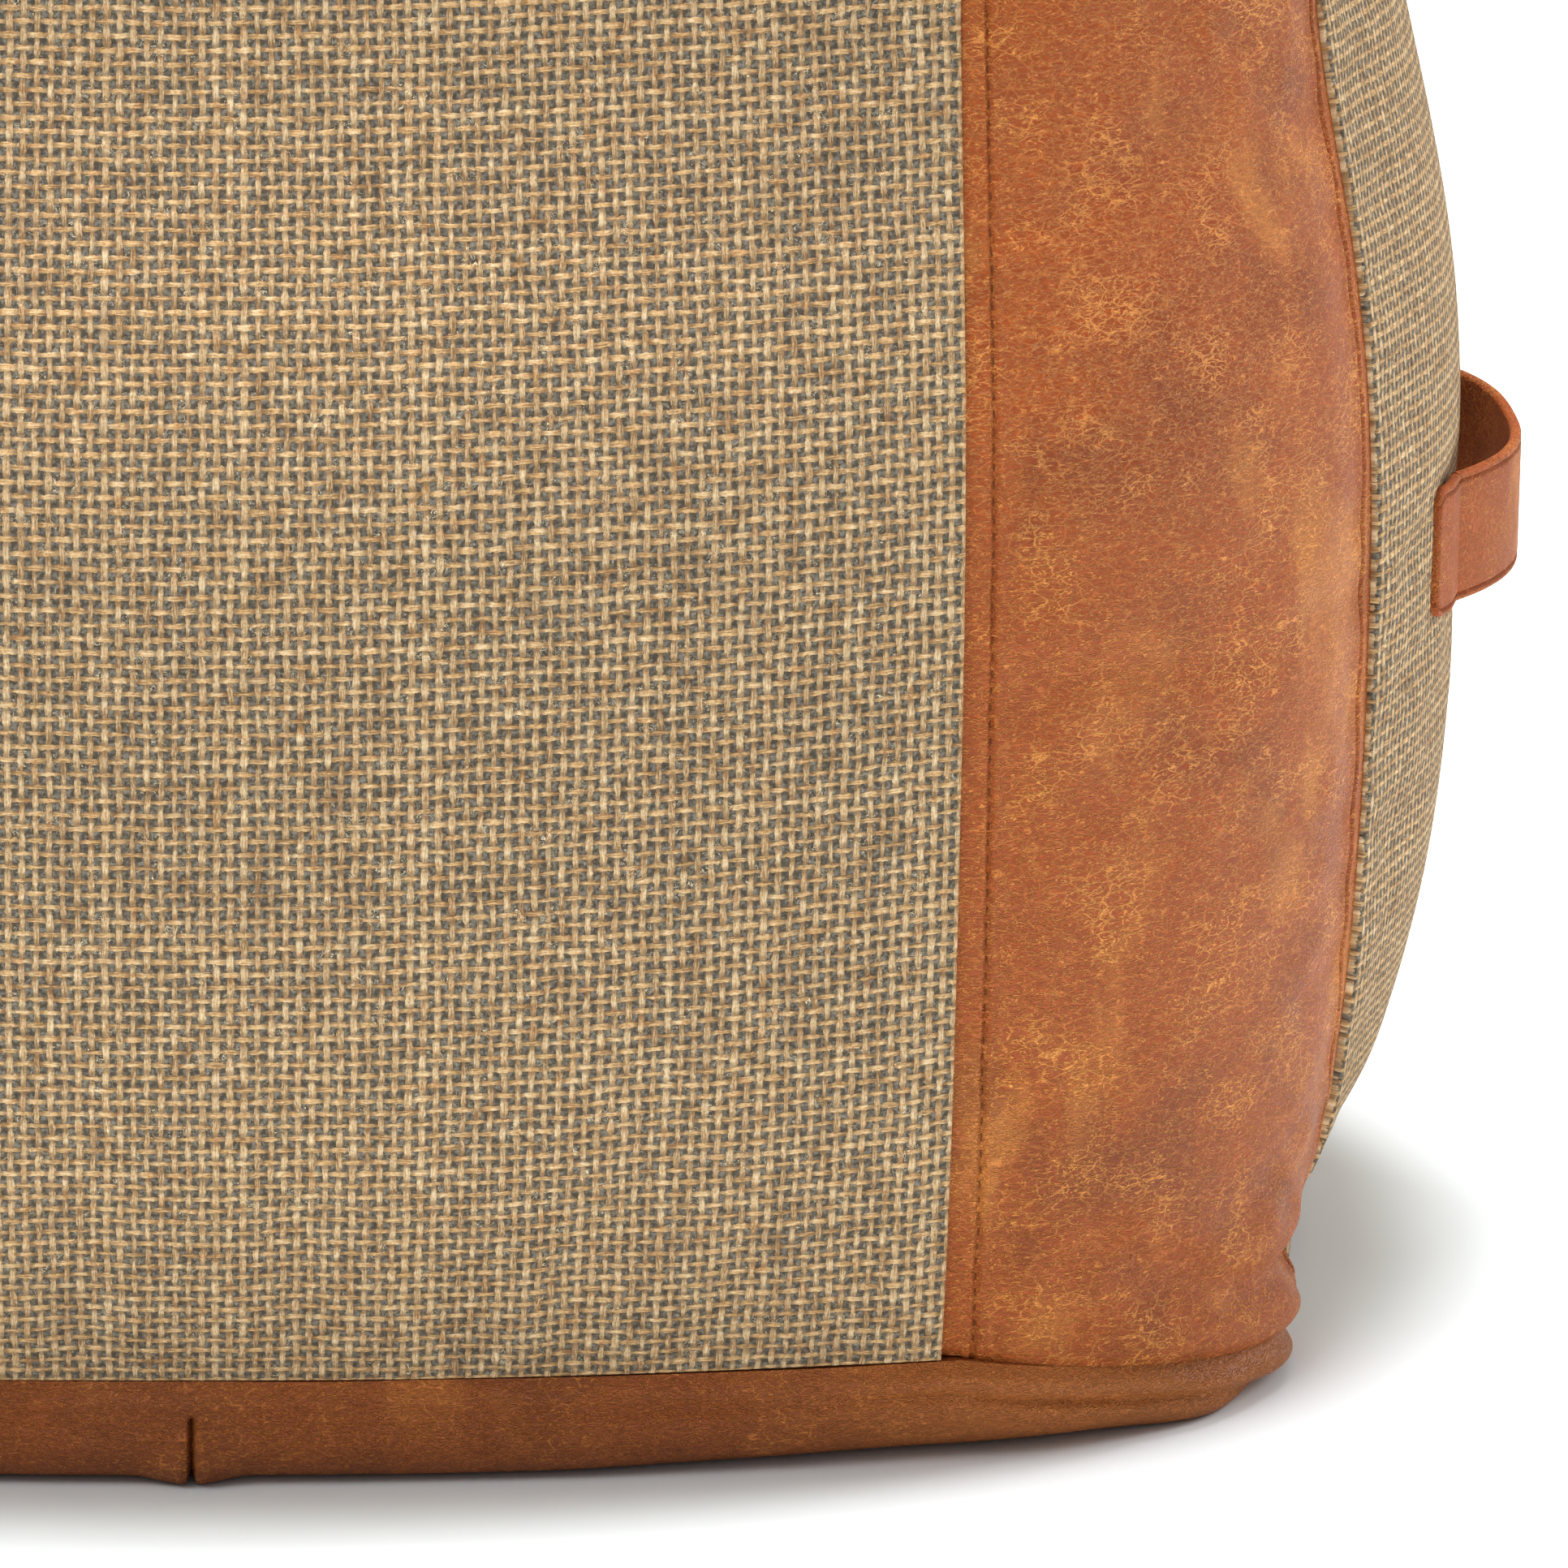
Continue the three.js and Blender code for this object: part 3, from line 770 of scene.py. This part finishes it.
def hessian_panels():
    for side, middle in SIDES.items():
        half = UNIT_LENGTH[0] if side in ("front", "back") else UNIT_LENGTH[2]
        across = steps(-half, half, 1.6 * MM, 0.9 * MM) / half
        across *= 1 - EDGE_BACK / half
        grid, t, z = wall_grid(middle + across, steps(0, 1, 1 / 170, 0.003))
        out = normals(grid)
        edge = np.minimum(half - EDGE_BACK - np.abs(t - middle) * half, z - seam_height(t))
        under_binding = smooth(0.287, 0.275, z)
        lift = (0.6 * MM * under_binding + puff(t, z)
                + 0.35 * MM * noise(grid, 38 * MM) * under_binding
                - edge_round(edge, 0.8 * MM))
        if side in ("left", "right"):
            near_corner = smooth(0.7, 0.95, np.abs(t - middle))
            lift = lift - 2 * MM * smooth(36 * MM, 22 * MM, z) * near_corner * (1 - beside_board(z))
        outer = grid + out * lift[..., None]
        inner = outer - out * HESSIAN_THICK
        up = arc_length(grid, 0)
        yarns = round(2 * half / HESSIAN_PITCH)
        width = 1 - EDGE_BACK / half
        along = (0.5 + (t - middle + width) / width * yarns / 2) * HESSIAN_PITCH  # ends on yarns
        piece = sheet_mesh(f"{side}_hessian", outer, inner, np.stack([along, up], -1))
        finish_piece(piece, hessian_look, [f"{side}_hessian_panel"])
        2 * half


MARGIN = 5.3 * MM  # from a corner strip's edge to its stitched groove
STITCH_PITCH, STITCH_FOOT = 3.1 * MM, 24 * MM
STITCH_RINGS, STITCH_SIDES = 5, 6


def corner_lift(t, z, points, start):
    """Where a corner strip stands out from the plain wall or sinks into it."""
    side_gap = (t - start) * CORNER_WIDTH
    edge = np.minimum(side_gap, CORNER_WIDTH - side_gap)
    rise = z - seam_height(t)
    groove = -1.15 * MM * hump(MARGIN, 0.7 * MM, edge) + 0.7 * MM * hump(MARGIN, 2.0 * MM, edge)
    pillow = 1.0 * MM * smooth(MARGIN, MARGIN + 14 * MM, edge) * smooth(0.29, 0.26, z)
    tuck = -0.4 * MM * smooth(2.0 * MM, 0, edge) - 0.4 * MM
    seam_tuck = -1.0 * MM * smooth(2.4 * MM, 0, rise)
    stretched = points * np.array([0.35, 0.35, 1.0])
    folds = noise(stretched, 4.2 * MM) * 0.28 * MM + noise(stretched + 9, 8 * MM) * 0.4 * MM
    folds *= hump(26 * MM, 16 * MM, rise) * smooth(MARGIN, MARGIN + 8 * MM, edge)
    lumps = noise(points, 30 * MM) * 0.35 * MM
    return groove + pillow + tuck + seam_tuck + folds + lumps + puff(t, z)


def leather_corners():
    for corner, start in CORNERS.items():
        fine = np.concatenate([MARGIN + np.linspace(-1.4, 1.4, 15) * MM,
                               CORNER_WIDTH - MARGIN + np.linspace(-1.4, 1.4, 15) * MM])
        coarse = steps(-1.5 * MM, CORNER_WIDTH + 1.5 * MM, 0.9 * MM, 0.8 * MM)
        coarse = coarse[np.abs(coarse[:, None] - fine).min(1) > 0.3 * MM]
        t_values = start + np.sort(np.concatenate([coarse, fine])) / CORNER_WIDTH
        rows = np.unique(np.concatenate([np.linspace(0, 0.25, 120), np.linspace(0.25, 1, 130)]))
        grid, t, z = wall_grid(t_values, rows)
        out = normals(grid)
        lift = corner_lift(t, z, grid, start)
        outer = grid + out * lift[..., None]
        inner = outer - out * SKIN * 0.9
        piece = sheet_mesh(f"{corner}_corner_leather", outer, inner)
        finish_piece(piece, wall_leather, [f"{corner}_leather_corner"])
        corner_stitching(corner, start)


def heading(line):
    return unit(np.gradient(line, axis=0))


def stitch_row(line, outwards, length, radius, sink):
    """Points of short rounded stitches along a line. Each is a row of rings, and its two ends
    sink in."""
    bend = np.linspace(-1, 1, STITCH_RINGS)[:, None, None]
    angle = (np.arange(STITCH_SIDES) * 2 * math.pi / STITCH_SIDES)[:, None]
    along = heading(line)
    vectors = line, outwards, along, np.cross(along, outwards)
    place, out, forward, over = (v[:, None, None] for v in vectors)
    centre = place + forward * bend * length / 2 - out * sink * bend ** 2
    thick = radius * np.sqrt(1 - 0.85 * bend ** 2)
    return centre + thick * (np.cos(angle) * over + np.sin(angle) * out)


def stitch_piece(name, rows):
    points = np.concatenate(rows).reshape(-1, 3)
    one = tube_faces(STITCH_RINGS, STITCH_SIDES)
    firsts = range(0, len(points), STITCH_RINGS * STITCH_SIDES)
    faces = [[first + i for i in face] for first in firsts for face in one]
    finish_piece(mesh_object(name, points, faces), thread_look, [])


def corner_stitching(corner, start):
    rows = []
    for edge in (MARGIN, CORNER_WIDTH - MARGIN):
        t_line = start + np.array([edge - 0.4 * MM, edge, edge + 0.4 * MM]) / CORNER_WIDTH
        t, z = np.meshgrid(t_line, np.arange(STITCH_FOOT, BILLOW_TOP, STITCH_PITCH / 2))
        grid = wall(t, z)
        out = normals(grid)
        surface = grid + out * corner_lift(t, z, grid, start)[..., None]
        rows.append(stitch_row(surface[::2, 1], out[::2, 1], 2.3 * MM, 0.28 * MM, 0.3 * MM))
    stitch_piece(f"{corner}_corner_stitching", rows)


# ---- base band and rim binding ----

BASE_INSET, BASE_OUTWARD = 6 * MM, 1.3 * MM
BASE_TURN_UNDER = 26 * MM


def base_profile(t, share):
    """Inset and height on the base band, share from 0 at its inner edge, round the roll and up to
    the seam, to 1 at the end of the lip that is sewn in under the wall."""
    flat, turn, lip = 0.2, 0.72, 0.93
    top = seam_height(t) - 0.15 * MM
    undercut = hump(1.02, 0.34, fold_quarter(t)[0])
    knee = top * (0.4 + 0.35 * undercut)
    turn_in = BASE_INSET + (1.5 + 7 * undercut) * MM
    angle = np.clip((share - flat) / (turn - flat), 0, 1) * math.pi / 2
    rise = np.clip((share - turn) / (lip - turn), 0, 1)
    under = np.clip((share - lip) / (1 - lip), 0, 1)
    inset = np.where(share < flat, BASE_TURN_UNDER + (turn_in - BASE_TURN_UNDER) * share / flat,
                     turn_in - (turn_in + BASE_OUTWARD) * np.sin(angle) + rise * 1.0 * MM
                     + under * 5 * MM)
    inset = inset - base_shift(t) * smooth(0, flat, share)
    z = np.where(share < flat, 0, knee * (1 - np.cos(angle)) + (top - knee) * rise)
    return inset, z


def base_lift(t, z, grid, end_gap):
    """The band's folds: a roll under the seam, a crease below it, and a slit at the end seams."""
    quarter = fold_quarter(t)[0]
    drop = seam_height(t) - z
    lower = smooth(6.2 * MM, 8 * MM, drop)
    at_corner = smooth(0.8, 1.15, quarter)
    roll = (0.5 + 0.9 * at_corner) * MM * hump(3.2 * MM, 2.2 * MM, drop)
    crease = -(0.6 + 1.1 * at_corner) * MM * hump(6.8 * MM, 1.1 * MM, drop)
    crease *= 0.8 + 0.35 * noise(grid, 18 * MM)
    tucked = 2.6 * MM * hump(1.56, 0.14, quarter) * smooth(2.5 * MM, 6 * MM, drop)
    swell = 1.6 * MM * hump(3.0 * MM, 5 * MM, end_gap) * smooth(8 * MM, 17 * MM, drop)
    lips = 0.6 * MM * hump(1.8 * MM, 1.4 * MM, end_gap) * lower
    slit = -2.2 * MM * smooth(0.9 * MM, 0, end_gap) * lower
    lumps = noise(grid * np.array([0.4, 0.4, 1]), 9 * MM) * 0.25 * MM
    return roll + crease + tucked + swell + lips + slit + lumps


def base_shift(t):
    """How far the whole band stands outwards of the seam's plan."""
    quarter = fold_quarter(t)[0]
    return (side_tuck(t, seam_height(t)) + 1.0 * MM * smooth(1.6, 1.8, quarter)
            - 1.0 * MM * smooth(1.05, 1.4, quarter) - 3.4 * MM * smooth(1.86, 2.06, quarter))


def base_band():
    for side, start in HALVES.items():
        stretches = []
        for low in range(start, start + 6):
            length = UNIT_LENGTH[min(low % 6, 5 - low % 6)]
            stretches.append(low + np.arange(0, 1, 1.3 * MM / length))
        ends = np.linspace(0, 0.04, 26)
        t_values = np.unique(np.concatenate([*stretches, start + ends, start + 6 - ends]))
        t, share = np.meshgrid(t_values, np.linspace(0, 1, 72))
        inset, z = base_profile(t, share)
        grid = inset_points(plan_point(SEAM_PLAN, t), inset, z)
        out = normals(grid)
        end_gap = gap_to_ends(t, start)
        lift = base_lift(t, z, grid, end_gap) * smooth(0.2, 0.4, share) * smooth(1, 0.93, share)
        outer = grid + out * lift[..., None]
        outer[..., 2] = np.maximum(outer[..., 2], 0)
        inner = outer - out * SKIN * 0.9
        inner[..., 2] = np.maximum(inner[..., 2], 0.4 * MM)
        piece = sheet_mesh(f"{side}_base_leather", outer, inner)
        finish_piece(piece, band_leather, [f"{side}_base_band"])


RIM_STAND_OFF = 0.8 * MM
RIM_FOOT_INSIDE = 0.302
RIM_INNER_INSET = 6.7 * MM
RIM_STITCH_DROP = 3.5 * MM


def rim_grid(t_values, share):
    """The binding from its outer foot (0), over the top of the wall (0.5) to its inner foot (1)."""
    t, s = np.meshgrid(t_values, share)
    leg = 0.4
    angle = np.clip((s - leg) / (1 - 2 * leg), 0, 1) * math.pi
    round_height = 6 * MM
    down_out = np.clip(1 - s / leg, 0, 1)
    down_in = np.clip((s - 1 + leg) / leg, 0, 1)
    shoulder = HEIGHT - round_height
    z = (shoulder + round_height * np.sin(angle) ** 0.7
         - down_out * (shoulder - BINDING_FOOT) - down_in * (shoulder - RIM_FOOT_INSIDE))
    outer_leg, inner_leg = wall(t, z, -RIM_STAND_OFF - SKIN), inner_wall(t, z, RIM_INNER_INSET)
    mix = ((1 - np.cos(angle)) / 2)[..., None]
    return outer_leg * (1 - mix) + inner_leg * mix, t, z


def rim_binding():
    for side, start in HALVES.items():
        t_values = np.linspace(start + JOIN_GAP, start + 6 - JOIN_GAP, 330)
        share = np.linspace(0, 1, 56)
        grid, t, z = rim_grid(t_values, share)
        out = normals(grid)
        s = share[:, None] + 0 * t
        foot = np.minimum((z - BINDING_FOOT) * (s < 0.45) + (z - RIM_FOOT_INSIDE) * (s > 0.55)
                          + 0.03 * ((s >= 0.45) & (s <= 0.55)), 0.03)
        groove = -0.5 * MM * hump(RIM_STITCH_DROP, 0.8 * MM, foot)
        round_edge = -edge_round(foot, 1.2 * MM)
        end_gap = gap_to_ends(t, start)
        seam = -0.8 * MM * smooth(1.5 * MM, 0, end_gap)
        lumps = 0.25 * MM * noise(grid, 14 * MM)
        outer = grid + out * (groove + round_edge * 0.6 + seam + lumps - 0.2 * MM)[..., None]
        inner = outer - out * SKIN * 0.8
        piece = sheet_mesh(f"{side}_rim_leather", outer, inner)
        finish_piece(piece, wall_leather, [f"{side}_rim_binding"])
        rim_stitching(side, start)


def rim_stitching(side, start):
    rows = []
    t = np.linspace(start + 0.03, start + 5.97, int(2 * sum(RIM_PLAN[0]) / STITCH_PITCH))
    faces = ((wall, BINDING_FOOT, -RIM_STAND_OFF - SKIN + 0.25 * MM, 1),
             (inner_wall, RIM_FOOT_INSIDE, RIM_INNER_INSET - 0.25 * MM, -1))
    for surface, foot, inset, sign in faces:
        line = surface(t, np.full_like(t, foot + RIM_STITCH_DROP), inset)
        outwards = np.cross(heading(line), (0, 0, sign))
        rows.append(stitch_row(line, outwards, 2.2 * MM, 0.3 * MM, 0.35 * MM))
    stitch_piece(f"{side}_rim_stitching", rows)


# ---- handles ----


def side_stop(y):
    """The t on the right side panel where the wall reaches y."""
    values = np.linspace(2, 4, 4001)
    return float(np.interp(y, wall(values, np.full_like(values, HANDLE_Z))[:, 1], values))


def strap_section(points, out, half_width):
    """Grids of a strap's outer and inner faces along points, with rounded edges and a thin
    pressed line inside each edge."""
    v = np.sin(np.linspace(-1, 1, 84) * math.pi / 2)[:, None, None]
    edge = (1 - np.abs(v)) * half_width
    groove = 0.6 * MM * hump(1.5 * MM, 0.34 * MM, edge)
    rounding = edge_round(edge, 0.9 * MM)
    middle = points + np.array([0, 0, 1.0]) * v * half_width
    return middle - out * (groove + rounding), middle - out * (STRAP - rounding)


def handle(side):
    """The left handle is the right one turned half way round the bin."""
    mirror = -1 if side == "left" else 1
    turn = np.array([mirror, mirror, 1])
    end_x = float(wall(np.array([side_stop(BEND_Y)]), np.array([HANDLE_Z]),
                       -TAB_STAND_OFF - STRAP)[0, 0])
    for sign in (-1, 1):
        end = "front" if sign * mirror < 0 else "back"
        y = np.sort(sign * np.sin(np.linspace(0, 1, 46) * math.pi / 2) * BEND_Y)
        x = end_x + (LOOP_REACH - end_x) * (1 - np.abs(y / BEND_Y) ** LOOP_SHAPE)
        line = np.stack([x, y, np.full_like(y, HANDLE_Z)], -1)
        out = unit(np.stack([np.ones_like(y), -np.gradient(x, y), np.zeros_like(y)], -1))
        outer, inner = strap_section(line, out, HANDLE_WIDTH / 2)
        piece = sheet_mesh(f"{side}_handle_{end}_half", outer * turn, inner * turn)
        piece.data.materials.append(strap_leather)
        if sign < 0:
            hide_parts(f"{side}_handle_strap")
        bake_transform(piece)
        handle_tab(side, end, sign, turn)


def handle_tab(side, end, sign, turn):
    from_stop, to_stop = side_stop(sign * BEND_Y), side_stop(sign * TAB_END_Y)
    stops = np.sort(np.linspace(from_stop, to_stop, 24))
    level = np.full_like(stops, HANDLE_Z)
    line = wall(stops, level, -TAB_STAND_OFF - STRAP)
    out = unit(line - wall(stops, level))
    share = np.abs(stops - from_stop) / abs(to_stop - from_stop)
    narrow = np.where(share > 0.75, 1 - 0.16 * ((share - 0.75) / 0.25) ** 2, 1)
    roll = edge_round((1 - share) * (TAB_END_Y - BEND_Y), 0.6 * MM) + 1.3 * MM * smooth(0.4, 1, share)
    outer, inner = strap_section(
        line - out * roll[:, None], out, HANDLE_WIDTH / 2 * narrow[:, None])
    piece = sheet_mesh(f"{side}_handle_{end}_end", outer * turn, inner * turn)
    finish_piece(piece, strap_leather, [f"{side}_handle_{end}_tab"])


# ---- lining, padding and insert ----

LINING_INSET = 3.6 * MM
LINING_FOOT = 20.9 * MM
PADDING_INSET = 5.2 * MM  # from the plain wall in to the wadding, clear of the skin's grooves


def lining():
    for side, middle in SIDES.items():
        t_values = np.linspace(middle - 1.5 + JOIN_GAP, middle + 1.5 - JOIN_GAP, 150)
        t, z = np.meshgrid(t_values, np.linspace(LINING_FOOT, WALL_TOP, 60))
        wrinkle = 0.25 * MM * (noise(np.stack([t * 0.1, z * 0.3, 0 * t], -1), 14 * MM) - 0.6)
        inner = inner_wall(t, z, LINING_INSET)
        outer = inner_wall(t, z, LINING_INSET + 1.0 * MM + wrinkle)
        flipped = outer[:, ::-1], inner[:, ::-1]
        cloth = np.stack([arc_length(outer, 1), z], -1)[:, ::-1]
        piece = sheet_mesh(f"{side}_lining_cloth", *flipped, cloth)
        finish_piece(piece, canvas_look, [f"{side}_lining"])


def padding():
    spans = {f"{s}_wadding": (m - 1, m + 1) for s, m in SIDES.items()}
    spans |= {f"{c}_corner_wadding": (s, s + 1) for c, s in CORNERS.items()}
    for name, (low, high) in spans.items():
        t, z = np.meshgrid(np.linspace(low + JOIN_GAP, high - JOIN_GAP, 24),
                           np.linspace(SEAM_Z + 0.5 * MM, WALL_TOP, 24))
        lump = 0.8 * MM * (1 + noise(wall(t, z), 18 * MM))
        skin_gap = PADDING_INSET + lump - side_tuck(t, z)
        piece = sheet_mesh(f"{name}_fill", wall(t, z, skin_gap), inner_wall(t, z, 0.0))
        finish_piece(piece, wadding_look, [name])


def disc_piece(name, shape, sections, fill_steps=14, dome=0.0, quilt=None):
    """A closed disc whose rings follow a plan at sections of (inset, height) in millimetres,
    bottom to top. Rings that shrink towards the middle fill both ends, and the top may be domed
    and quilted."""
    t = np.linspace(0, 12, 240, endpoint=False)
    rings = [inset_points(plan_point(shape, t), inset * MM, z * MM) for inset, z in sections]
    share = 1 - np.arange(1, fill_steps)[:, None, None] / fill_steps

    def fill(ring):
        return ring.mean(0) + (ring - ring.mean(0)) * share

    bottom, top = fill(rings[0]), fill(rings[-1])
    top[..., 2] += dome * (1 - share[..., 0] ** 2)
    if quilt is not None:
        top[..., 2] += quilt(top)
    layers = np.concatenate([bottom[::-1], rings, top])
    points = layers.reshape(-1, 3)
    return mesh_object(name, points, tube_faces(*layers.shape[:2]), points[:, :2] + 0.5)


def base_pieces():
    underside = disc_piece("underside_leather", SEAM_PLAN, [(26.6, 0.2), (26.3, 0.6), (26.3, 1.6)])
    finish_piece(underside, band_leather, ["underside_panel"])
    fill = disc_piece("base_fill", SEAM_PLAN, [(18, 2.3), (16.2, 5), (16.2, 13), (18, 15.6)])
    finish_piece(fill, wadding_look, ["base_wadding"])
    floor_cloth = disc_piece(
        "lining_floor_cloth", INNER_PLAN, [(3.7, 19.55), (3.6, 20), (3.7, 20.45)])
    finish_piece(floor_cloth, canvas_look, ["lining_floor"])


INSERT_BOTTOM, INSERT_TOP, INSERT_INSET = 21.1, 29.7, 8.2  # millimetres
QUILT_PITCH = 60 * MM
PULL_TAB_Z = 30 * MM


def quilting(points):
    """Grooves along a square grid of seams."""
    from_seam = np.abs(np.mod(points[..., :2] + QUILT_PITCH / 2, QUILT_PITCH) - QUILT_PITCH / 2)
    return -0.8 * MM * hump(0, 3 * MM, from_seam.min(-1))


def insert_pieces():
    sections = [(INSERT_INSET + 1, INSERT_BOTTOM), (INSERT_INSET, INSERT_BOTTOM + 1),
                (INSERT_INSET - 0.2, INSERT_BOTTOM + 4), (INSERT_INSET, INSERT_TOP - 2),
                (INSERT_INSET + 0.6, INSERT_TOP - 1), (INSERT_INSET + 2, INSERT_TOP - 0.3)]
    cover = disc_piece("insert_cushion_cover", INNER_PLAN, sections, 60, 0.2 * MM, quilting)
    finish_piece(cover, canvas_look, ["insert_cover", "insert_pad"], "base_insert")
    pull_tab()


def pull_tab():
    width, length, thick, edge_x = 24 * MM, 46 * MM, 1.6 * MM, 184 * MM
    along = np.linspace(0, length, 40)
    round_part = np.maximum(along - (length - width / 2), 0)
    half = np.sqrt(np.maximum((width / 2) ** 2 - round_part ** 2, (1.5 * MM) ** 2))
    v = np.linspace(1, -1, 16)[:, None]
    x, y = edge_x - along + 0 * v, -v * half
    edge = (1 - np.abs(v)) * half
    z_outer = PULL_TAB_Z + thick - edge_round(edge, 0.6 * MM)
    z_inner = PULL_TAB_Z + edge_round(edge, 0.5 * MM)
    outer, inner = np.stack([x, y, z_outer], -1), np.stack([x, y, z_inner], -1)
    piece = sheet_mesh("insert_pull_loop", outer, inner, outer[..., :2] + 0.5)
    finish_piece(piece, webbing_look, ["insert_pull_tab"], "base_insert")


CAD_LOOKS = {"board": board_look, "backing": backing_look}


def dress_cad_nodes():
    """The boards and backings keep their CAD shape and get a better material."""
    for name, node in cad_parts.items():
        look = CAD_LOOKS.get(name.split("_")[-1])
        if look:
            for index in range(len(node.data.materials)):
                node.data.materials[index] = look


make_camera()
make_studio()
hessian_panels()
leather_corners()
base_band()
rim_binding()
handle("right")
handle("left")
lining()
padding()
base_pieces()
insert_pieces()
dress_cad_nodes()
